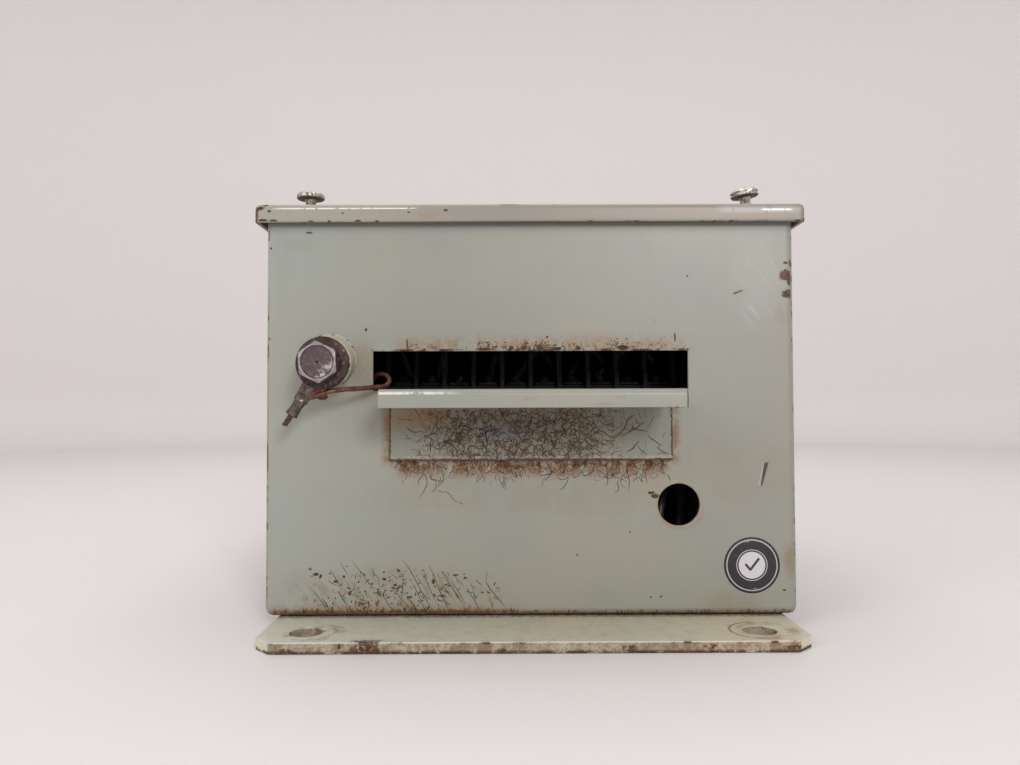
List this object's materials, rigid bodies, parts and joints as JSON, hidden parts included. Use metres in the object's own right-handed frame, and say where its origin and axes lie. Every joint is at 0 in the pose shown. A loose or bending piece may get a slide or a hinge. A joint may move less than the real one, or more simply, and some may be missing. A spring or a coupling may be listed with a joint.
{
  "type": "breaker panel box",
  "caption": "Surface-mounted sheet-steel breaker box on two drilled mounting bars, with a lift-off screwed cover, cable slot with support, earth bolt, terminals and toggle breakers.",
  "frame": {"origin": "centre of the mounting plane, under the middle of the box", "axes": "+Z out of the mounting plane towards the cover, -Y towards the cable entry end, +X across the box"},
  "size_m": [0.209, 0.285, 0.1701],
  "materials": {
    "sage_paint": "satin, pale sage grey-green, chipped and rust-stained",
    "plated_steel": "dulled zinc plate",
    "tinned_copper": "dull tin over copper, green-brown tarnish",
    "tarnished_steel": "brown-purple tarnish with bright worn edges",
    "old_copper": "oxidised bare copper",
    "black_moulding": "black phenolic moulding",
    "grey_moulding": "dark grey thermoset moulding",
    "toggle_plastic": "cream thermoplastic",
    "grommet_rubber": "aged black rubber",
    "grey_insulation": "grey vinyl insulation",
    "black_insulation": "black vinyl insulation"
  },
  "bodies": {
    "box": {"enclosure_tub": "sage_paint", "mounting_bar_front": "sage_paint", "mounting_bar_rear": "sage_paint", "cable_support": "sage_paint", "earth_boss": "sage_paint", "corner_bracket_front_left": "sage_paint", "corner_bracket_front_right": "sage_paint", "corner_bracket_rear_left": "sage_paint", "corner_bracket_rear_right": "sage_paint", "equipment_tray": "sage_paint", "tray_screw_1": "plated_steel", "tray_screw_2": "plated_steel", "tray_screw_3": "plated_steel", "tray_screw_4": "plated_steel", "inner_earth_screw": "plated_steel", "tray_grommet": "grommet_rubber", "terminal_block": "black_moulding", "terminal_01": "plated_steel", "terminal_02": "plated_steel", "terminal_03": "plated_steel", "terminal_04": "plated_steel", "terminal_05": "plated_steel", "terminal_06": "plated_steel", "terminal_07": "plated_steel", "terminal_08": "plated_steel", "terminal_09": "plated_steel", "terminal_10": "plated_steel", "breaker_1_case": "black_moulding", "breaker_1_cover": "grey_moulding", "breaker_2_case": "black_moulding", "breaker_2_cover": "grey_moulding", "breaker_3_case": "black_moulding", "breaker_3_cover": "grey_moulding", "busbar_1": "old_copper", "busbar_2": "old_copper", "earth_wire": "old_copper", "load_wire_1": "grey_insulation", "load_wire_2": "grey_insulation", "load_wire_3": "grey_insulation", "load_wire_4": "grey_insulation", "load_wire_5": "grey_insulation", "load_wire_6": "grey_insulation", "supply_wire_1": "black_insulation", "supply_wire_2": "black_insulation"},
    "cover": {"cover": "sage_paint"},
    "retaining_washer_front_left": {"retaining_washer_front_left": "plated_steel"},
    "cover_screw_front_left": {"cover_screw_front_left": "tarnished_steel"},
    "retaining_washer_front_right": {"retaining_washer_front_right": "plated_steel"},
    "cover_screw_front_right": {"cover_screw_front_right": "tarnished_steel"},
    "retaining_washer_rear_left": {"retaining_washer_rear_left": "plated_steel"},
    "cover_screw_rear_left": {"cover_screw_rear_left": "tarnished_steel"},
    "retaining_washer_rear_right": {"retaining_washer_rear_right": "plated_steel"},
    "cover_screw_rear_right": {"cover_screw_rear_right": "tarnished_steel"},
    "earth_washers": {"earth_flat_washer": "tarnished_steel", "earth_spring_washer": "tarnished_steel"},
    "earth_bolt": {"earth_bolt": "tarnished_steel"},
    "stub_lug": {"stub_lug": "tinned_copper"},
    "breaker_1_toggle": {"breaker_1_toggle": "toggle_plastic"},
    "breaker_2_toggle": {"breaker_2_toggle": "toggle_plastic"},
    "breaker_3_toggle": {"breaker_3_toggle": "toggle_plastic"}
  },
  "joints": [
    {"name": "cover_lift", "type": "slide", "parent": "box", "child": "cover", "axis": [0, 0, 1], "range_m": [0, 0.12]},
    {"name": "screw_front_left_travel", "type": "slide", "parent": "cover", "child": "retaining_washer_front_left", "axis": [0, 0, 1], "range_m": [-0.0055, 0.001]},
    {"name": "screw_front_left_turn", "type": "hinge", "parent": "retaining_washer_front_left", "child": "cover_screw_front_left", "pos_m": [-0.087, -0.098, 0.1604], "axis": [0, 0, 1], "range_deg": [-1981, 361]},
    {"name": "screw_front_right_travel", "type": "slide", "parent": "cover", "child": "retaining_washer_front_right", "axis": [-0.1219, 0, 0.9925], "range_m": [-0.001, 0.0004]},
    {"name": "screw_front_right_turn", "type": "hinge", "parent": "retaining_washer_front_right", "child": "cover_screw_front_right", "pos_m": [0.087, -0.098, 0.1604], "axis": [-0.1219, 0, 0.9925], "range_deg": [-361, 145]},
    {"name": "screw_rear_left_travel", "type": "slide", "parent": "cover", "child": "retaining_washer_rear_left", "axis": [0, 0, 1], "range_m": [0, 0.0053]},
    {"name": "screw_rear_left_turn", "type": "hinge", "parent": "retaining_washer_rear_left", "child": "cover_screw_rear_left", "pos_m": [-0.087, 0.098, 0.1604], "axis": [0, 0, 1], "range_deg": [0, 1909]},
    {"name": "screw_rear_right_travel", "type": "slide", "parent": "cover", "child": "retaining_washer_rear_right", "axis": [0, 0, 1], "range_m": [0, 0.0053]},
    {"name": "screw_rear_right_turn", "type": "hinge", "parent": "retaining_washer_rear_right", "child": "cover_screw_rear_right", "pos_m": [0.087, 0.098, 0.1604], "axis": [0, 0, 1], "range_deg": [0, 1909]},
    {"name": "earth_bolt_travel", "type": "slide", "parent": "box", "child": "earth_washers", "axis": [0, -1, 0], "range_m": [0, 0.006]},
    {"name": "earth_bolt_turn", "type": "hinge", "parent": "earth_washers", "child": "earth_bolt", "pos_m": [-0.0751, -0.111, 0.0991], "axis": [0, -1, 0], "range_deg": [0, 1729]},
    {"name": "stub_lug_swivel", "type": "hinge", "parent": "box", "child": "stub_lug", "pos_m": [-0.0751, -0.111, 0.0991], "axis": [0, -1, 0], "range_deg": [-80, 25]},
    {"name": "breaker_1_switch", "type": "hinge", "parent": "box", "child": "breaker_1_toggle", "pos_m": [-0.0503, 0.022, 0.122], "axis": [1, 0, 0], "range_deg": [-44, 0]},
    {"name": "breaker_2_switch", "type": "hinge", "parent": "box", "child": "breaker_2_toggle", "pos_m": [0, 0.022, 0.122], "axis": [1, 0, 0], "range_deg": [-44, 0]},
    {"name": "breaker_3_switch", "type": "hinge", "parent": "box", "child": "breaker_3_toggle", "pos_m": [0.0503, 0.022, 0.122], "axis": [1, 0, 0], "range_deg": [-44, 0]}
  ],
  "couplings": [
    {"joint": "screw_front_left_turn", "follows": "screw_front_left_travel", "rad_per_m": 6283.2},
    {"joint": "screw_front_right_turn", "follows": "screw_front_right_travel", "rad_per_m": 6283.2},
    {"joint": "screw_rear_left_turn", "follows": "screw_rear_left_travel", "rad_per_m": 6283.2},
    {"joint": "screw_rear_right_turn", "follows": "screw_rear_right_travel", "rad_per_m": 6283.2},
    {"joint": "earth_bolt_turn", "follows": "earth_bolt_travel", "rad_per_m": 5026.5}
  ]
}
